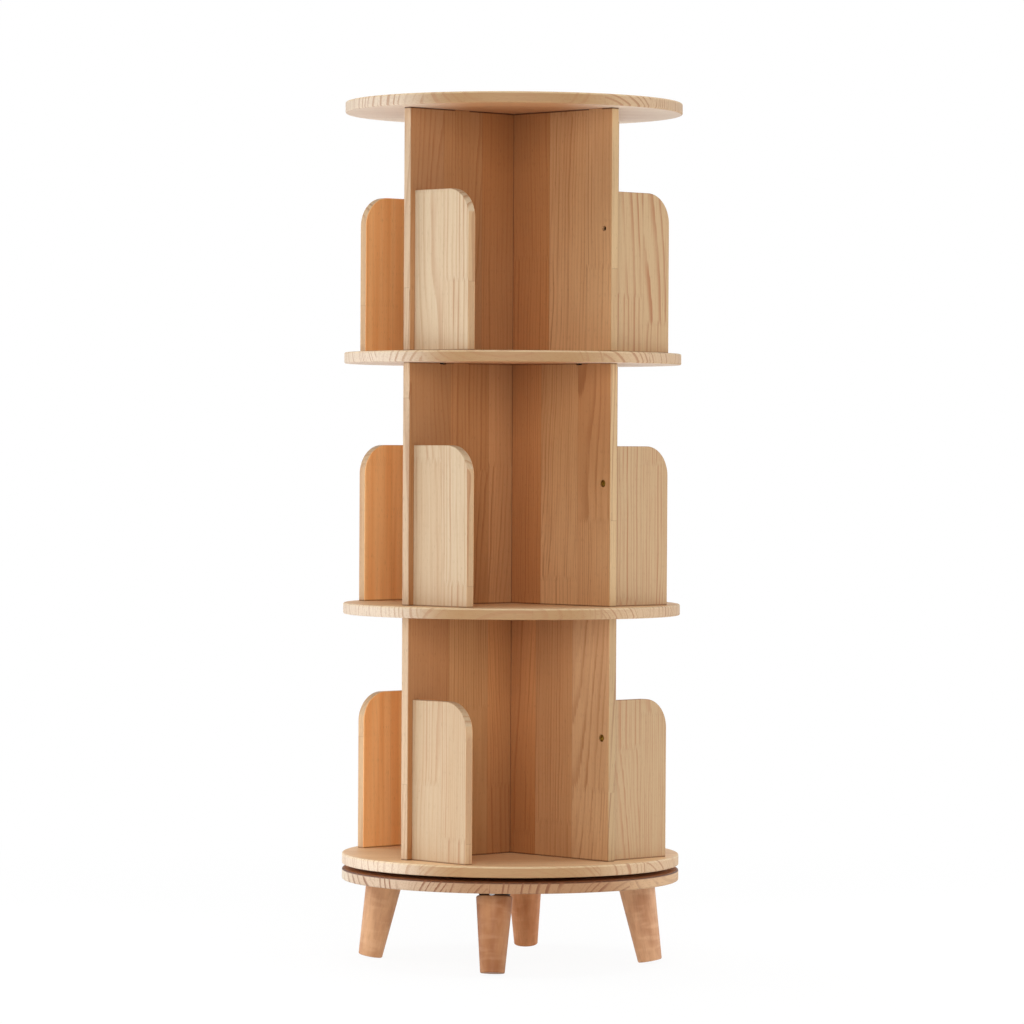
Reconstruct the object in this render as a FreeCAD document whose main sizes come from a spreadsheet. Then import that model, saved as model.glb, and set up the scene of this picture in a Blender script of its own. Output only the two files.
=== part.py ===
import FreeCAD, Part
import math
import os
import re
import Sketcher

# A revolving bookcase in pine: three tiers of upright crosses between round shelves,
# turning on a pressed-steel ball turntable above a round base board on four splayed legs.
# The origin lies on the floor, on the axis of rotation, and +Z points up.

V = FreeCAD.Vector
UP = V(0, 0, 1)
TURN = FreeCAD.Rotation
TIERS = ("lower", "middle", "upper")
ARMS = 4
LEGS = 4

# Driving dimensions in millimetres and degrees, one row of the sheet each.
SIZES = (
    ("disc_dia", 460, "diameter of the base board, the shelves and the top board"),
    ("disc_thick", 15, "thickness of every round board"),
    ("disc_round", 2, "rounding of a round board's rim"),
    ("tier_height", 326, "height of the upright boards, clear between two shelves"),
    ("arm_inset", 33, "distance of the ends of the upright boards from the rim of the shelves"),
    ("cross_thick", 12, "thickness of an upright board"),
    ("lap_clear", 0.2, "clearance of the halved joint on each side"),
    ("board_round", 1, "easing of the edges of upright boards and book stops"),
    ("stop_inset", 11.2, "distance of a book stop's outer corner from the rim of its shelf"),
    ("stop_thick", 12, "thickness of a book stop"),
    ("stop_height", 215, "height of a book stop"),
    ("stop_corner", 40, "radius of its rounded top corner"),
    ("stop_setback", 9, "distance of a book stop from the end of its arm"),
    ("screw_dia", 5, "shank diameter of the wood screws in the carousel"),
    ("screw_grip", 31, "depth that a wood screw reaches into the board it holds"),
    ("screw_clear", 0.1, "diametral clearance of a screw, bolt or dowel in its hole"),
    ("stop_screw_height", 165, "height of the screw through the arm above the shelf"),
    ("stop_screw_head", 9.6, "diameter of that screw's socket head"),
    ("stop_screw_sink", 5, "depth of its counterbore in the arm"),
    ("top_screw_head", 6.8, "diameter of the smaller socket heads in the upper tier"),
    ("top_screw_sink", 7.5, "depth of the counterbores in the upper tier"),
    ("stop_screw_head_high", 3.6, "height of a socket head"),
    ("stop_screw_key_deep", 2.4, "depth of its hexagon socket"),
    ("sink_clear", 0.6, "diametral clearance of a screw head in its counterbore"),
    ("foot_screw_head", 10, "diameter of the low heads below the shelves"),
    ("foot_screw_head_high", 1.8, "height of those heads"),
    ("foot_screw_edge", 17, "distance of a stop's foot screw from the stop's outer end"),
    ("foot_screw_sink", 2.3, "depth of the counterbores for the stops' foot screws"),
    ("arm_screw_gap", 35, "distance of an arm's foot screw from the side of the turntable"),
    ("notch_clear", 0.6, "room around a screw head in the notch of the board below"),
    ("dowel_dia", 8, "diameter of the dowels in the top edges"),
    ("dowel_edge", 97, "distance of a dowel from the end of its arm"),
    ("dowel_in_board", 15, "depth of a dowel in the upright board"),
    ("dowel_in_disc", 9, "depth of a dowel in the disc above"),
    ("dowel_room", 0.5, "empty depth beyond each end of a dowel or screw"),
    ("turntable_side", 200, "side of the turntable's square plates"),
    ("turntable_corner", 12, "corner radius of those plates"),
    ("turntable_high", 6, "height of the turntable, the gap between base and carousel"),
    ("sheet_thick", 1, "sheet thickness of the turntable's plates"),
    ("race_inset", 25, "distance of the ball circle from the sides of the plates"),
    ("race_half", 8, "half width of the raised band that holds the ball groove"),
    ("race_raise", 0.9, "height of that band above the plate's flange"),
    ("race_slope", 1.2, "run of the slopes at the band's edges"),
    ("race_land", 4, "width of flat plate outside the band that joins the flange"),
    ("ball_clear", 0.1, "clearance of a ball in its groove and pocket"),
    ("ball_count", 20, "number of balls"),
    ("cage_half", 4.5, "half width of the ball retainer"),
    ("cage_thick", 0.8, "thickness of the ball retainer"),
    ("hub_inset", 21, "distance of the upper plate's hub from the ball circle"),
    ("hub_gap", 3, "gap from the hub to the rim of the lower plate's hole"),
    ("hub_catch", 3, "overlap of the hub's turned lip under the lower plate"),
    ("hub_clear", 0.4, "clearance between the lip and the lower plate"),
    ("plate_screw_inset", 12, "distance of a turntable screw from two sides of its plate"),
    ("plate_screw_dia", 4, "shank diameter of the turntable's and leg plates' screws"),
    ("plate_screw_grip", 11, "depth of those screws in the wood"),
    ("plate_screw_head", 8.4, "head diameter of the turntable's screws"),
    ("plate_screw_head_high", 1.6, "head height of the turntable's screws"),
    ("access_dia", 16, "hole in the base board for driving the upper plate's screws"),
    ("leg_turn_angle", 39.6, "angle from the arms to the first leg"),
    ("leg_inset", 56, "distance of a leg plate's centre from the rim of the base board"),
    ("leg_seat_drop", 8, "depth of the tilted seat's centre below the base board"),
    ("leg_splay_angle", 10.5, "tilt of a leg outwards"),
    ("leg_length", 102.5, "length of a leg along its axis"),
    ("leg_top_dia", 49, "diameter of a leg at its top"),
    ("leg_foot_dia", 33, "diameter of a leg at its foot"),
    ("leg_top_ease", 1.8, "bevel of a leg's top edge"),
    ("leg_foot_ease", 0.8, "bevel of a leg's foot"),
    ("leg_plate_dia", 66, "diameter of a leg plate's flange"),
    ("leg_plate_thick", 2, "sheet thickness of a leg plate"),
    ("leg_boss_root", 46, "diameter of a leg plate's boss at the flange"),
    ("leg_boss_seat", 40, "diameter of the tilted seat at the end of the boss"),
    ("leg_screw_circle", 56, "pitch circle of a leg plate's screws"),
    ("leg_screw_head", 7.4, "head diameter of those screws"),
    ("leg_screw_head_high", 2.4, "head height of those screws"),
    ("bolt_dia", 8, "diameter of a hanger bolt"),
    ("bolt_in_leg", 30, "depth of a hanger bolt in the leg"),
    ("bolt_above_seat", 6, "length of a hanger bolt above the seat"),
    ("bolt_bevel", 0.8, "bevel of a hanger bolt's ends"),
)

doc = FreeCAD.newDocument("revolving_bookcase")
sheet = doc.addObject("Spreadsheet::Sheet", "sizes")
for row, (alias, number, note) in enumerate(SIZES, start=1):
    sheet.set(f"A{row}", alias)
    sheet.set(f"B{row}", str(number))
    sheet.set(f"C{row}", note)
    sheet.setAlias(f"B{row}", alias)
doc.recompute()

ALIAS = re.compile(r"\b(" + "|".join(alias for alias, _, _ in SIZES) + r")\b")
nodes = []


def qualify(text):
    """The formula text with each size's name led by the sheet's name."""
    return ALIAS.sub(r"sizes.\1", text)


def value(text):
    """The number that a formula over the sheet's sizes gives now."""
    return float(sheet.evalExpression(qualify(text)))


def bind(item, path, text):
    """Ties one property of an object to a formula over the sheet."""
    item.setExpression(path, qualify(text))


# Sketch and feature helpers

def new_body(label):
    """An empty body that becomes one file of the assembly."""
    body = doc.addObject("PartDesign::Body", label)
    body.Label = label
    nodes.append(body)
    return body


def origin_item(body, role):
    """One of the body's own origin planes or axes."""
    return next(item for item in body.Origin.OriginFeatures if item.Role == role)


def new_sketch(body, name, plane, lift="0", turn=TURN()):
    """A sketch on an origin plane, lifted along its normal and turned."""
    sketch = body.newObject("Sketcher::SketchObject", f"{body.Name}_{name}")
    sketch.AttachmentSupport = [(origin_item(body, plane), "")]
    sketch.MapMode = "FlatFace"
    sketch.AttachmentOffset = FreeCAD.Placement(V(0, 0, value(lift)), turn)
    if lift != "0":
        bind(sketch, "AttachmentOffset.Base.z", lift)
    return sketch


def pin_point(sketch, geo, pos, x, y):
    """Holds one point of a sketch at two formulas."""
    for kind, axis, text in (("DistanceX", -2, x), ("DistanceY", -1, y)):
        if text == "0":
            sketch.addConstraint(Sketcher.Constraint("PointOnObject", geo, pos, axis))
        else:
            index = sketch.addConstraint(Sketcher.Constraint(kind, -1, 1, geo, pos, value(text)))
            bind(sketch, f"Constraints[{index}]", text)


def add_circle(sketch, x, y, dia):
    """A circle whose centre and diameter follow the sheet."""
    geo = sketch.addGeometry(Part.Circle(V(value(x), value(y), 0), UP, value(dia) / 2))
    pin_point(sketch, geo, 3, x, y)
    index = sketch.addConstraint(Sketcher.Constraint("Diameter", geo, value(dia)))
    bind(sketch, f"Constraints[{index}]", dia)


def add_outline(sketch, corners):
    """A closed outline through corners (x, y), or (x, y, radius, side) where the edge that leaves
    the corner is an arc with its centre to the left (side 1) or right (side -1)."""
    spots = [V(value(corner[0]), value(corner[1]), 0) for corner in corners]
    ends = []
    for k, corner in enumerate(corners):
        here = spots[k]
        there = spots[(k + 1) % len(spots)]
        if len(corner) == 2:
            ends.append((sketch.addGeometry(Part.LineSegment(here, there)), 1, 2))
            continue
        radius = value(corner[2])
        side = corner[3]
        half = (there - here) * 0.5
        left = V(-half.y, half.x, 0).normalize()
        centre = here + half + left * (side * math.sqrt(max(radius ** 2 - half.Length ** 2, 0)))
        first, last = (here, there) if side > 0 else (there, here)
        start = math.atan2(first.y - centre.y, first.x - centre.x)
        stop = math.atan2(last.y - centre.y, last.x - centre.x)
        arc = Part.ArcOfCircle(Part.Circle(centre, UP, radius), start, stop)
        geo = sketch.addGeometry(arc)
        ends.append((geo, 1, 2) if side > 0 else (geo, 2, 1))
        index = sketch.addConstraint(Sketcher.Constraint("Radius", geo, radius))
        bind(sketch, f"Constraints[{index}]", corner[2])
    for k, corner in enumerate(corners):
        geo, entry, leave = ends[k]
        following = ends[(k + 1) % len(ends)]
        sketch.addConstraint(Sketcher.Constraint("Coincident", geo, leave, following[0], following[1]))
        pin_point(sketch, geo, entry, corner[0], corner[1])


def pad(body, sketch, length, reverse=False):
    """Thickens a sketch along its normal, or against it."""
    feature = body.newObject("PartDesign::Pad", f"{sketch.Name}_pad")
    feature.Profile = sketch
    feature.Reversed = reverse
    bind(feature, "Length", length)
    doc.recompute()
    return feature


def pocket(body, sketch, length, reverse=False):
    """Cuts a sketch against its normal, or along it, and makes sure that it removed material."""
    before = body.Shape.Volume
    feature = body.newObject("PartDesign::Pocket", f"{sketch.Name}_pocket")
    feature.Profile = sketch
    feature.Reversed = reverse
    bind(feature, "Length", length)
    doc.recompute()
    if body.Shape.Volume >= before:
        raise RuntimeError(f"{feature.Name} cut nothing")
    return feature


def revolve(body, sketch):
    """Turns a half section about the sketch's upright axis."""
    feature = body.newObject("PartDesign::Revolution", f"{sketch.Name}_turned")
    feature.Profile = sketch
    feature.ReferenceAxis = (sketch, ["V_Axis"])
    feature.Angle = 360
    doc.recompute()
    return feature


def ring_of(body, feature, count):
    """Repeats a feature evenly about the body's Z axis."""
    pattern = body.newObject("PartDesign::PolarPattern", f"{feature.Name}_ring")
    pattern.Originals = [feature]
    pattern.Axis = (origin_item(body, "Z_Axis"), [""])
    pattern.Angle = 360
    pattern.Occurrences = count
    body.Tip = pattern
    doc.recompute()
    return pattern


def round_edges(body, feature, radius, keep=lambda edge: True):
    """Rounds the edges of a feature that the test keeps."""
    names = [f"Edge{k}" for k, edge in enumerate(feature.Shape.Edges, start=1) if keep(edge)]
    fillet = body.newObject("PartDesign::Fillet", f"{feature.Name}_round")
    fillet.Base = (feature, names)
    bind(fillet, "Radius", radius)
    doc.recompute()
    return fillet


def is_rim(edge):
    """True for a full circle, false for the seam of a round board."""
    return isinstance(edge.Curve, Part.Circle)


def place(body, x=0.0, y=0.0, z=0.0, turn=0.0, tilt=0.0):
    """Sets a body at a point, tilted about Y, and then turned about the axis of rotation."""
    local = FreeCAD.Placement(V(x, y, z), TURN(V(0, 1, 0), tilt))
    body.Placement = FreeCAD.Placement(V(), TURN(UP, turn)) * local


# Levels of the assembly, from the floor upwards

splay = math.radians(value("leg_splay_angle"))
foot_reach = value("leg_foot_dia / 2 - leg_foot_ease")
leg_rise = value("leg_length") * math.cos(splay) + foot_reach * math.sin(splay)
base_under = leg_rise + value("leg_seat_drop")
base_top = base_under + value("disc_thick")
shelf_under = base_top + value("turntable_high")
shelf_top = shelf_under + value("disc_thick")
tier_pitch = value("tier_height + disc_thick")
tier_floor = [shelf_top + k * tier_pitch for k in range(len(TIERS))]

# Formulas that several pieces share
ARM_END = "(disc_dia / 2 - arm_inset)"
ARM_SCREW = "(turntable_side / 2 + arm_screw_gap)"
DOWEL_SPOT = f"({ARM_END} - dowel_edge)"
STOP_FACE = f"({ARM_END} - stop_setback)"
STOP_MIDDLE = f"({STOP_FACE} - stop_thick / 2)"
STOP_END = f"sqrt((disc_dia / 2 - stop_inset)^2 - {STOP_FACE}^2)"
STOP_FOOT = f"({STOP_END} - foot_screw_edge)"
LEG_SPOT = "(disc_dia / 2 - leg_inset)"
PLATE_SPOT = "(turntable_side / 2 - plate_screw_inset)"
SCREW_HOLE = "screw_dia + screw_clear"
SCREW_DEEP = "screw_grip + dowel_room"
PLATE_HOLE = "plate_screw_dia + screw_clear"
PLATE_DEEP = "plate_screw_grip + dowel_room"
BALL_DIA = "turntable_high - 2 * sheet_thick - 2 * ball_clear"


# Round boards

def round_board(label, level):
    """A glued pine disc with a softly rounded rim, its underside at the given level."""
    body = new_body(label)
    sketch = new_sketch(body, "disc", "XY_Plane")
    add_circle(sketch, "0", "0", "disc_dia")
    disc = pad(body, sketch, "disc_thick")
    round_edges(body, disc, "disc_round", is_rim)
    place(body, z=level)
    return body


def bore_ring(body, name, x, y, dia, depth, lift="0"):
    """Four equal holes, drilled upwards from the lifted level, one for each arm or corner."""
    sketch = new_sketch(body, name, "XY_Plane", lift)
    add_circle(sketch, x, y, dia)
    ring_of(body, pocket(body, sketch, depth, reverse=True), ARMS)


def bore_for_uprights(body):
    """Screw holes through a shelf, below the arms and the book stops that stand on it. Those of the
    stops are counterbored, so that no head stands out near the rim."""
    bore_ring(body, "arm_holes", ARM_SCREW, "0", SCREW_HOLE, "disc_thick")
    bore_ring(body, "stop_sinks", STOP_MIDDLE, STOP_FOOT, "foot_screw_head + sink_clear", "foot_screw_sink")
    bore_ring(body, "stop_holes", STOP_MIDDLE, STOP_FOOT, SCREW_HOLE, "disc_thick")


def bore_for_dowels(body):
    """Blind holes in a disc's underside for the dowels of the cross below it."""
    bore_ring(body, "dowel_holes", DOWEL_SPOT, "0", "dowel_dia + screw_clear", "dowel_in_disc + dowel_room")


base_board = round_board("base_board", base_under)
bore_ring(base_board, "turntable_pilots", PLATE_SPOT, PLATE_SPOT, PLATE_HOLE, PLATE_DEEP,
          lift=f"disc_thick - ({PLATE_DEEP})")
access = new_sketch(base_board, "access", "XY_Plane")
add_circle(access, f"{PLATE_SPOT} * sqrt(2)", "0", "access_dia")
pocket(base_board, access, "disc_thick", reverse=True)
leg_pilots = new_sketch(base_board, "leg_pilots", "XY_Plane", turn=TURN(UP, value("leg_turn_angle")))
for along, across in (("+ leg_screw_circle / 2", "0"), ("- leg_screw_circle / 2", "0"),
                      ("", "leg_screw_circle / 2"), ("", "-leg_screw_circle / 2")):
    add_circle(leg_pilots, f"{LEG_SPOT} {along}", across, PLATE_HOLE)
ring_of(base_board, pocket(base_board, leg_pilots, PLATE_DEEP, reverse=True), LEGS)

bottom_shelf = round_board("bottom_shelf", shelf_under)
bore_for_uprights(bottom_shelf)
bore_ring(bottom_shelf, "turntable_pilots", PLATE_SPOT, PLATE_SPOT, PLATE_HOLE, PLATE_DEEP)
for label, level in zip(("middle_shelf", "upper_shelf"), tier_floor[1:]):
    shelf = round_board(label, level - value("disc_thick"))
    bore_for_uprights(shelf)
    bore_for_dowels(shelf)
top_board = round_board("top_board", tier_floor[-1] + value("tier_height"))
bore_for_dowels(top_board)


# Upright crosses

def cross_board(label, level, turn, slot_from_top, stop_head, stop_sink, has_shelf_above):
    """One upright board of a cross: it is halved over its partner at mid-length, carries a book stop
    near each end and is notched over the screw heads of the shelf above it."""
    body = new_body(label)
    outline = new_sketch(body, "outline", "XZ_Plane", "-cross_thick / 2")
    add_outline(outline, ((f"-{ARM_END}", "0"), (ARM_END, "0"), (ARM_END, "tier_height"),
                          (f"-{ARM_END}", "tier_height")))
    round_edges(body, pad(body, outline, "cross_thick"), "board_round")

    slot = new_sketch(body, "slot", "XZ_Plane", "cross_thick / 2")
    half = "cross_thick / 2 + lap_clear"
    low, high = ("tier_height / 2", "tier_height") if slot_from_top else ("0", "tier_height / 2 + lap_clear")
    add_outline(slot, ((f"-({half})", low), (half, low), (half, high), (f"-({half})", high)))
    pocket(body, slot, "cross_thick")

    screw = new_sketch(body, "stop_screw", "XZ_Plane", "cross_thick / 2")
    add_circle(screw, STOP_MIDDLE, "stop_screw_height", SCREW_HOLE)
    ring_of(body, pocket(body, screw, "cross_thick"), 2)
    sink = new_sketch(body, "screw_sink", "XZ_Plane", "cross_thick / 2")
    add_circle(sink, STOP_MIDDLE, "stop_screw_height", f"{stop_head} + sink_clear")
    ring_of(body, pocket(body, sink, stop_sink), 2)

    foot = new_sketch(body, "foot_pilot", "XY_Plane")
    add_circle(foot, ARM_SCREW, "0", SCREW_HOLE)
    ring_of(body, pocket(body, foot, SCREW_DEEP, reverse=True), 2)
    dowel = new_sketch(body, "dowel_hole", "XY_Plane", "tier_height")
    add_circle(dowel, DOWEL_SPOT, "0", "dowel_dia + screw_clear")
    ring_of(body, pocket(body, dowel, "dowel_in_board + dowel_room"), 2)

    if has_shelf_above:
        notch = new_sketch(body, "head_notch", "XZ_Plane", "cross_thick / 2")
        reach = "foot_screw_head / 2 + notch_clear"
        floor = "tier_height - foot_screw_head_high - notch_clear"
        add_outline(notch, ((f"{ARM_SCREW} - ({reach})", floor), (f"{ARM_SCREW} + {reach}", floor),
                            (f"{ARM_SCREW} + {reach}", "tier_height"),
                            (f"{ARM_SCREW} - ({reach})", "tier_height")))
        ring_of(body, pocket(body, notch, "cross_thick"), 2)
    place(body, z=level, turn=turn)


STOP_HEADS = ("stop_screw_head", "stop_screw_head", "top_screw_head")
STOP_SINKS = ("stop_screw_sink", "stop_screw_sink", "top_screw_sink")
for tier, level, head, sink in zip(TIERS, tier_floor, STOP_HEADS, STOP_SINKS):
    under_shelf = tier != TIERS[-1]
    cross_board(f"{tier}_cross_x", level, 0, True, head, sink, under_shelf)
    cross_board(f"{tier}_cross_y", level, 90, False, head, sink, under_shelf)


# Book stops

def book_stop(label, level, turn):
    """A short board square to an arm near its end, with its outer top corner rounded."""
    body = new_body(label)
    outline = new_sketch(body, "outline", "YZ_Plane")
    near = "cross_thick / 2"
    add_outline(outline, ((near, "0"), (STOP_END, "0"),
                          (STOP_END, "stop_height - stop_corner", "stop_corner", 1),
                          (f"{STOP_END} - stop_corner", "stop_height"), (near, "stop_height")))
    round_edges(body, pad(body, outline, "stop_thick"), "board_round")
    end = new_sketch(body, "end_pilot", "XZ_Plane", f"-{near}")
    add_circle(end, "stop_thick / 2", "stop_screw_height", SCREW_HOLE)
    pocket(body, end, SCREW_DEEP)
    foot = new_sketch(body, "foot_pilot", "XY_Plane")
    add_circle(foot, "stop_thick / 2", STOP_FOOT, SCREW_HOLE)
    pocket(body, foot, SCREW_DEEP, reverse=True)
    place(body, value(f"{STOP_FACE} - stop_thick"), 0, level, turn)


for tier, level in zip(TIERS, tier_floor):
    for arm in range(ARMS):
        book_stop(f"{tier}_stop_{arm + 1}", level, arm * 360 / ARMS)


# Screws and dowels of the carousel, each set of four in one node

def turned_set(label, corners, x, y, level):
    """Four equal turned pieces, one for each arm: a half section about an upright axis at (x, y)."""
    body = new_body(label)
    sketch = new_sketch(body, "section", "XZ_Plane")
    sketch.AttachmentOffset = FreeCAD.Placement(V(value(x), 0, -value(y)), TURN())
    bind(sketch, "AttachmentOffset.Base.x", x)
    bind(sketch, "AttachmentOffset.Base.z", f"-({y})")
    add_outline(sketch, corners)
    ring_of(body, revolve(body, sketch), ARMS)
    place(body, z=level)
    return body


def headed_screw(shank, length, head, head_high):
    """Half section of a screw that points up, with the underside of its head at the level 0."""
    tip = f"({length}) - ({shank}) / 2"
    return (("0", f"-({head_high})"), (f"({head}) / 2 - ({head_high}) / 2", f"-({head_high})"),
            (f"({head}) / 2", f"-({head_high}) / 2"), (f"({head}) / 2", "0"), (f"({shank}) / 2", "0"),
            (f"({shank}) / 2", tip), ("0", length))


def stop_screws(label, level, head_dia, sink):
    """Socket-head screws that lie across the arms and hold the upper part of the book stops. The
    hexagon socket is half as wide as the head."""
    body = new_body(label)
    seat = f"{sink} - cross_thick / 2"
    head = new_sketch(body, "head", "XZ_Plane", f"-({seat})")
    add_circle(head, STOP_MIDDLE, "stop_screw_height", head_dia)
    parts = [pad(body, head, "stop_screw_head_high")]
    shank = new_sketch(body, "shank", "XZ_Plane", f"-({seat})")
    add_circle(shank, STOP_MIDDLE, "stop_screw_height", "screw_dia")
    parts.append(pad(body, shank, f"cross_thick - {sink} + screw_grip", reverse=True))
    key = new_sketch(body, "key", "XZ_Plane", f"stop_screw_head_high - ({seat})")
    flat = f"{head_dia} / 4"
    corner = f"{head_dia} / (2 * sqrt(3))"
    points = ((corner, "0"), (f"{corner} / 2", flat), (f"-{corner} / 2", flat),
              (f"-{corner}", "0"), (f"-{corner} / 2", f"-{flat}"), (f"{corner} / 2", f"-{flat}"))
    add_outline(key, [(f"{STOP_MIDDLE} + {x}", f"stop_screw_height + {y}") for x, y in points])
    parts.append(pocket(body, key, "stop_screw_key_deep"))
    pattern = ring_of(body, parts[0], ARMS)
    pattern.Originals = parts
    place(body, z=level)


FOOT_HEAD = ("foot_screw_head", "foot_screw_head_high")
ARM_FOOT_SCREW = headed_screw("screw_dia", "disc_thick + screw_grip", *FOOT_HEAD)
STOP_FOOT_SCREW = headed_screw("screw_dia", "disc_thick - foot_screw_sink + screw_grip", *FOOT_HEAD)
DOWEL_HALF = "dowel_dia / 2"
DOWEL = (("0", "-dowel_in_board"), (DOWEL_HALF, "-dowel_in_board"), (DOWEL_HALF, "dowel_in_disc"),
         ("0", "dowel_in_disc"))
for tier, level, head, sink in zip(TIERS, tier_floor, STOP_HEADS, STOP_SINKS):
    underside = level - value("disc_thick")
    stop_screws(f"{tier}_stop_screws", level, head, sink)
    sunk = underside + value("foot_screw_sink")
    turned_set(f"{tier}_foot_screws", STOP_FOOT_SCREW, STOP_MIDDLE, STOP_FOOT, sunk)
    turned_set(f"{tier}_cross_screws", ARM_FOOT_SCREW, ARM_SCREW, "0", underside)
    turned_set(f"{tier}_dowels", DOWEL, DOWEL_SPOT, "0", level + value("tier_height"))


# Turntable: two pressed plates that run on balls, held together by the upper plate's turned lip

MID = "turntable_high / 2"
RACE = "(turntable_side / 2 - race_inset)"
BALL_GROOVE = f"({BALL_DIA}) / 2 + ball_clear"
BACK_GROOVE = f"{BALL_GROOVE} + sheet_thick"
BAND_TOP = "race_raise + sheet_thick"
GROOVE_HALF = f"sqrt(({BALL_GROOVE})^2 - ({MID} - ({BAND_TOP}))^2)"
BACK_HALF = f"sqrt(({BACK_GROOVE})^2 - ({MID} - race_raise)^2)"
LAND_EDGE = f"{RACE} + race_half + race_slope + race_land"
BAND_OUT = f"{RACE} + race_half"
BAND_IN = f"{RACE} - race_half"
HUB = f"({RACE} - hub_inset)"
HOLE_EDGE = f"{HUB} + sheet_thick + hub_gap"


def mirrored(text):
    """A height counted from the turntable's underside, counted from its top instead."""
    return f"turntable_high - ({text})"


def pressed_plate(label, section, flange_level):
    """A square steel plate with rounded corners, a pressed ball race and four screw holes."""
    body = new_body(label)
    flange = new_sketch(body, "flange", "XY_Plane", flange_level)
    side = "turntable_side / 2"
    near = f"{side} - turntable_corner"
    add_outline(flange, ((side, f"-({near})"), (side, near, "turntable_corner", 1),
                         (near, side), (f"-({near})", side, "turntable_corner", 1),
                         (f"-{side}", near), (f"-{side}", f"-({near})", "turntable_corner", 1),
                         (f"-({near})", f"-{side}"), (near, f"-{side}", "turntable_corner", 1)))
    add_circle(flange, "0", "0", f"2 * ({LAND_EDGE}) - race_land")
    pad(body, flange, "sheet_thick")
    race = new_sketch(body, "race", "XZ_Plane")
    add_outline(race, section)
    revolve(body, race)
    bore_ring(body, "screw_holes", PLATE_SPOT, PLATE_SPOT, PLATE_HOLE, "turntable_high")
    place(body, z=base_top)
    return body


def race_band(height):
    """The two faces of the raised band, back face inwards and ball face outwards, at heights that the
    given function counts from the plate's own flange."""
    side = 1 if height("0") == "0" else -1
    back = ((LAND_EDGE, height("0")), (f"{BAND_OUT} + race_slope", height("0")),
            (BAND_OUT, height("race_raise")),
            (f"{RACE} + {BACK_HALF}", height("race_raise"), BACK_GROOVE, -side),
            (f"{RACE} - {BACK_HALF}", height("race_raise")), (BAND_IN, height("race_raise")))
    front = ((f"{RACE} - {GROOVE_HALF}", height(BAND_TOP), BALL_GROOVE, side),
             (f"{RACE} + {GROOVE_HALF}", height(BAND_TOP)),
             (f"{BAND_OUT} - race_slope / 2", height(BAND_TOP)),
             (f"{BAND_OUT} + race_slope / 2", height("sheet_thick")), (LAND_EDGE, height("sheet_thick")))
    return back, front


LIP_UNDER = "2 * race_raise"
lower_back, lower_front = race_band(lambda text: text)
lower_section = lower_back + (
    (f"{BAND_IN} - race_slope", LIP_UNDER), (HOLE_EDGE, LIP_UNDER),
    (HOLE_EDGE, f"{LIP_UNDER} + sheet_thick"),
    (f"{BAND_IN} - race_slope / 2", f"{LIP_UNDER} + sheet_thick"),
    (f"{BAND_IN} + race_slope / 2", BAND_TOP)) + lower_front

CATCH_TOP = f"{LIP_UNDER} - hub_clear"
CATCH_EDGE = f"{HOLE_EDGE} + hub_catch"
upper_back, upper_front = race_band(mirrored)
upper_section = upper_back + (
    (f"{BAND_IN} - race_slope", "turntable_high"), (HUB, "turntable_high"),
    (HUB, f"{CATCH_TOP} - sheet_thick"), (CATCH_EDGE, f"{CATCH_TOP} - sheet_thick"),
    (CATCH_EDGE, CATCH_TOP), (f"{HUB} + sheet_thick", CATCH_TOP),
    (f"{HUB} + sheet_thick", mirrored("sheet_thick")),
    (f"{BAND_IN} - race_slope / 2", mirrored("sheet_thick")),
    (f"{BAND_IN} + race_slope / 2", mirrored(BAND_TOP))) + upper_front

pressed_plate("turntable_lower_plate", lower_section, "0")
pressed_plate("turntable_upper_plate", upper_section, "turntable_high - sheet_thick")

PLATE_SCREW = headed_screw("plate_screw_dia", "sheet_thick + plate_screw_grip", "plate_screw_head",
                           "plate_screw_head_high")
turned_set("turntable_upper_screws", PLATE_SCREW, PLATE_SPOT, PLATE_SPOT,
           shelf_under - value("sheet_thick"))
lower_screws = turned_set("turntable_lower_screws", PLATE_SCREW, PLATE_SPOT, PLATE_SPOT, 0)
lower_screws.Placement = FreeCAD.Placement(V(0, 0, base_top + value("sheet_thick")), TURN(V(1, 0, 0), 180))

retainer = new_body("ball_retainer")
ring = new_sketch(retainer, "ring", "XY_Plane", f"{MID} - cage_thick / 2")
add_circle(ring, "0", "0", f"2 * ({RACE} + cage_half)")
add_circle(ring, "0", "0", f"2 * ({RACE} - cage_half)")
pad(retainer, ring, "cage_thick")
ball_pocket = new_sketch(retainer, "pocket", "XY_Plane", f"{MID} - cage_thick / 2")
add_circle(ball_pocket, RACE, "0", f"{BALL_DIA} + 2 * ball_clear")
pockets = ring_of(retainer, pocket(retainer, ball_pocket, "cage_thick", reverse=True), 2)
bind(pockets, "Occurrences", "ball_count")
place(retainer, z=base_top)

balls = new_body("bearing_balls")
ball = balls.newObject("PartDesign::AdditiveSphere", "bearing_ball")
ball.AttachmentSupport = [(origin_item(balls, "XY_Plane"), "")]
ball.MapMode = "FlatFace"
bind(ball, "Radius", f"({BALL_DIA}) / 2")
bind(ball, "AttachmentOffset.Base.x", RACE)
bind(ball, "AttachmentOffset.Base.z", MID)
doc.recompute()
bind(ring_of(balls, ball, 2), "Occurrences", "ball_count")
place(balls, z=base_top)


# Legs with their plates, screws and hanger bolts

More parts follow.
